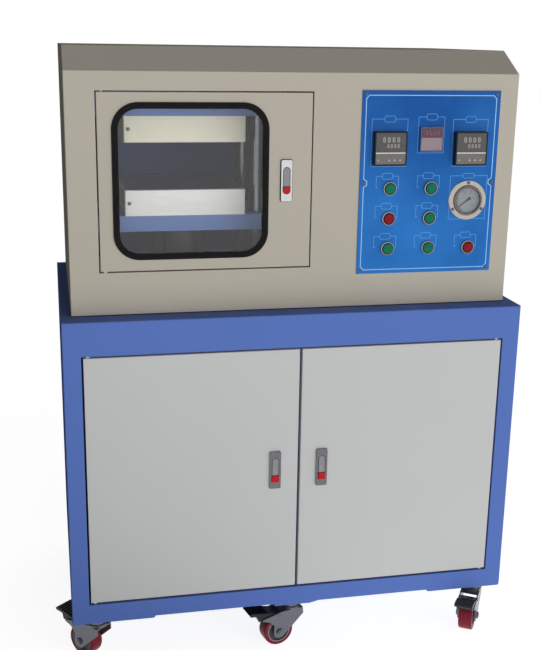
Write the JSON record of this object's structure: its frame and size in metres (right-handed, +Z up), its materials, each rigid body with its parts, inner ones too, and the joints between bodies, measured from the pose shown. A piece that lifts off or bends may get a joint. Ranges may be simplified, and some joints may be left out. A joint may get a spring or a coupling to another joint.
{
  "type": "rubber mold vulcanizer",
  "caption": "Heated flat-plate press under a hood with a windowed door and control panel, on a castered cabinet that holds its hydraulic unit.",
  "frame": {"origin": "on the floor, under the middle of the cabinet", "axes": "+Z up, +X to the right as seen by the operator, +Y from the front to the back"},
  "size_m": [0.9809, 0.6655, 1.2338],
  "materials": {
    "blue_paint": "smooth baked enamel, satin",
    "beige_paint": "fine textured baked enamel",
    "grey_paint": "fine textured baked enamel",
    "panel_blue": "screen printed plate, gloss",
    "machine_blue": "brushed machine enamel",
    "tank_paint": "smooth enamel",
    "motor_paint": "enamel on cast housing",
    "chrome": "polished plating",
    "stainless": "turned and polished",
    "ground_steel": "ground",
    "zinc": "bright zinc plating",
    "aluminium_cover": "rolled sheet",
    "insulation": "pressed fibre board",
    "black_rubber": "extruded, matt",
    "pane": "clear float glass",
    "gauge_glass": "clear",
    "black_plastic": "fine moulded texture",
    "red_plastic": "moulded",
    "green_plastic": "moulded",
    "red_tyre": "cast polyurethane",
    "needle_black": "matt"
  },
  "bodies": {
    "machine": {"cabinet_frame": "blue_paint", "cabinet_side_panels": "blue_paint", "rear_covers": "blue_paint", "door_hinge_pins": "zinc", "hood_shell": "beige_paint", "chamber_partition": "beige_paint", "control_panel": "panel_blue", "panel_instruments": "black_plastic", "button_bezels": "chrome", "gauge_case": "stainless", "gauge_lens": "gauge_glass", "press_crosshead": "machine_blue", "press_columns": "chrome", "press_bed": "machine_blue", "upper_insulation_board": "insulation", "upper_platen": "ground_steel", "upper_platen_cover": "aluminium_cover", "oil_tank": "tank_paint", "pump_motor": "motor_paint", "caster_top_plates": "zinc"},
    "left_door": {"left_cabinet_door": "grey_paint", "left_lock_body": "chrome"},
    "right_door": {"right_cabinet_door": "grey_paint", "right_lock_body": "chrome"},
    "window_door": {"chamber_door": "beige_paint", "window_seal": "black_rubber", "window_glass": "pane", "chamber_lock_body": "chrome"},
    "press_table": {"press_ram": "chrome", "moving_table": "machine_blue", "lower_insulation_board": "insulation", "lower_platen": "ground_steel", "lower_platen_cover": "aluminium_cover"},
    "needle": {"gauge_needle": "needle_black"},
    "left_lever": {"left_lock_lever": "chrome"},
    "left_release": {"left_lock_button": "red_plastic"},
    "right_lever": {"right_lock_lever": "chrome"},
    "right_release": {"right_lock_button": "red_plastic"},
    "chamber_lever": {"chamber_lock_lever": "chrome"},
    "chamber_release": {"chamber_lock_button": "red_plastic"},
    "heat_cap": {"heat_button": "green_plastic"},
    "timer_cap": {"timer_button": "green_plastic"},
    "heat_stop_cap": {"heat_stop_button": "red_plastic"},
    "pump_cap": {"pump_button": "green_plastic"},
    "rise_cap": {"rise_button": "green_plastic"},
    "lower_cap": {"lower_button": "green_plastic"},
    "stop_cap": {"stop_button": "red_plastic"},
    "front_left_swivel": {"front_left_fork": "zinc"},
    "front_left_roller": {"front_left_wheel": "red_tyre"},
    "front_left_brake": {"front_left_pedal": "black_plastic"},
    "front_middle_swivel": {"front_middle_fork": "zinc"},
    "front_middle_roller": {"front_middle_wheel": "red_tyre"},
    "front_middle_brake": {"front_middle_pedal": "black_plastic"},
    "front_right_swivel": {"front_right_fork": "zinc"},
    "front_right_roller": {"front_right_wheel": "red_tyre"},
    "front_right_brake": {"front_right_pedal": "black_plastic"},
    "rear_left_swivel": {"rear_left_fork": "zinc"},
    "rear_left_roller": {"rear_left_wheel": "red_tyre"},
    "rear_right_swivel": {"rear_right_fork": "zinc"},
    "rear_right_roller": {"rear_right_wheel": "red_tyre"}
  },
  "joints": [
    {"name": "left_door_hinge", "type": "hinge", "parent": "machine", "child": "left_door", "pos_m": [-0.413, -0.2725, 0.405], "axis": [0, 0, -1], "range_deg": [0, 105]},
    {"name": "right_door_hinge", "type": "hinge", "parent": "machine", "child": "right_door", "pos_m": [0.413, -0.2725, 0.405], "axis": [0, 0, 1], "range_deg": [0, 105]},
    {"name": "window_door_hinge", "type": "hinge", "parent": "machine", "child": "window_door", "pos_m": [-0.3724, -0.2278, 0.988], "axis": [0, 0, -1], "range_deg": [0, 105]},
    {"name": "left_lever_hinge", "type": "hinge", "parent": "left_door", "child": "left_lever", "pos_m": [-0.0473, -0.2815, 0.43455], "axis": [-1, 0, 0], "range_deg": [0, 30]},
    {"name": "left_release_slide", "type": "slide", "parent": "left_door", "child": "left_release", "axis": [0, 1, 0], "range_m": [0, 0.0025], "stiffness_N_per_m": 300, "springref_m": -0.0015},
    {"name": "right_lever_hinge", "type": "hinge", "parent": "right_door", "child": "right_lever", "pos_m": [0.049, -0.2815, 0.43455], "axis": [-1, 0, 0], "range_deg": [0, 30]},
    {"name": "right_release_slide", "type": "slide", "parent": "right_door", "child": "right_release", "axis": [0, 1, 0], "range_m": [0, 0.0025], "stiffness_N_per_m": 300, "springref_m": -0.0015},
    {"name": "chamber_lever_hinge", "type": "hinge", "parent": "window_door", "child": "chamber_lever", "pos_m": [-0.0248, -0.2358, 1.01155], "axis": [-1, 0, 0], "range_deg": [0, 30]},
    {"name": "chamber_release_slide", "type": "slide", "parent": "window_door", "child": "chamber_release", "axis": [0, 1, 0], "range_m": [0, 0.0025], "stiffness_N_per_m": 300, "springref_m": -0.0015},
    {"name": "ram_slide", "type": "slide", "parent": "machine", "child": "press_table", "axis": [0, 0, 1], "range_m": [0, 0.091]},
    {"name": "needle_hinge", "type": "hinge", "parent": "machine", "child": "needle", "pos_m": [0.346, -0.2383, 0.9446], "axis": [0, 1, 0], "range_deg": [0, 270], "stiffness_Nm_per_rad": 0.002},
    {"name": "heat_cap_slide", "type": "slide", "parent": "machine", "child": "heat_cap", "axis": [0, 1, 0], "range_m": [0, 0.003], "stiffness_N_per_m": 500, "springref_m": -0.002},
    {"name": "timer_cap_slide", "type": "slide", "parent": "machine", "child": "timer_cap", "axis": [0, 1, 0], "range_m": [0, 0.003], "stiffness_N_per_m": 500, "springref_m": -0.002},
    {"name": "heat_stop_cap_slide", "type": "slide", "parent": "machine", "child": "heat_stop_cap", "axis": [0, 1, 0], "range_m": [0, 0.003], "stiffness_N_per_m": 500, "springref_m": -0.002},
    {"name": "pump_cap_slide", "type": "slide", "parent": "machine", "child": "pump_cap", "axis": [0, 1, 0], "range_m": [0, 0.003], "stiffness_N_per_m": 500, "springref_m": -0.002},
    {"name": "rise_cap_slide", "type": "slide", "parent": "machine", "child": "rise_cap", "axis": [0, 1, 0], "range_m": [0, 0.003], "stiffness_N_per_m": 500, "springref_m": -0.002},
    {"name": "lower_cap_slide", "type": "slide", "parent": "machine", "child": "lower_cap", "axis": [0, 1, 0], "range_m": [0, 0.003], "stiffness_N_per_m": 500, "springref_m": -0.002},
    {"name": "stop_cap_slide", "type": "slide", "parent": "machine", "child": "stop_cap", "axis": [0, 1, 0], "range_m": [0, 0.003], "stiffness_N_per_m": 500, "springref_m": -0.002},
    {"name": "front_left_swivel_turn", "type": "hinge", "parent": "machine", "child": "front_left_swivel", "pos_m": [-0.41, -0.242, 0.09], "axis": [0, 0, 1], "continuous": true},
    {"name": "front_left_wheel_roll", "type": "hinge", "parent": "front_left_swivel", "child": "front_left_roller", "pos_m": [-0.43231, -0.21634, 0.0335], "axis": [-0.7547, -0.6561, 0], "continuous": true},
    {"name": "front_left_brake_hinge", "type": "hinge", "parent": "front_left_swivel", "child": "front_left_brake", "pos_m": [-0.43362, -0.21483, 0.072], "axis": [-0.7547, -0.6561, 0], "range_deg": [0, 8]},
    {"name": "front_middle_swivel_turn", "type": "hinge", "parent": "machine", "child": "front_middle_swivel", "pos_m": [0, -0.242, 0.09], "axis": [0, 0, 1], "continuous": true},
    {"name": "front_middle_wheel_roll", "type": "hinge", "parent": "front_middle_swivel", "child": "front_middle_roller", "pos_m": [-0.03299, -0.25022, 0.0335], "axis": [0.2419, -0.9703, 0], "continuous": true},
    {"name": "front_middle_brake_hinge", "type": "hinge", "parent": "front_middle_swivel", "child": "front_middle_brake", "pos_m": [-0.03493, -0.25071, 0.072], "axis": [0.2419, -0.9703, 0], "range_deg": [0, 8]},
    {"name": "front_right_swivel_turn", "type": "hinge", "parent": "machine", "child": "front_right_swivel", "pos_m": [0.413, -0.242, 0.09], "axis": [0, 0, 1], "continuous": true},
    {"name": "front_right_wheel_roll", "type": "hinge", "parent": "front_right_swivel", "child": "front_right_roller", "pos_m": [0.39498, -0.27083, 0.0335], "axis": [0.848, -0.5299, 0], "continuous": true},
    {"name": "front_right_brake_hinge", "type": "hinge", "parent": "front_right_swivel", "child": "front_right_brake", "pos_m": [0.39392, -0.27253, 0.072], "axis": [0.848, -0.5299, 0], "range_deg": [0, 8]},
    {"name": "rear_left_swivel_turn", "type": "hinge", "parent": "machine", "child": "rear_left_swivel", "pos_m": [-0.41, 0.25, 0.09], "axis": [0, 0, 1], "continuous": true},
    {"name": "rear_left_wheel_roll", "type": "hinge", "parent": "rear_left_swivel", "child": "rear_left_roller", "pos_m": [-0.41, 0.284, 0.0335], "axis": [-1, 0, 0], "continuous": true},
    {"name": "rear_right_swivel_turn", "type": "hinge", "parent": "machine", "child": "rear_right_swivel", "pos_m": [0.413, 0.25, 0.09], "axis": [0, 0, 1], "continuous": true},
    {"name": "rear_right_wheel_roll", "type": "hinge", "parent": "rear_right_swivel", "child": "rear_right_roller", "pos_m": [0.447, 0.25, 0.0335], "axis": [0, 1, 0], "continuous": true}
  ]
}
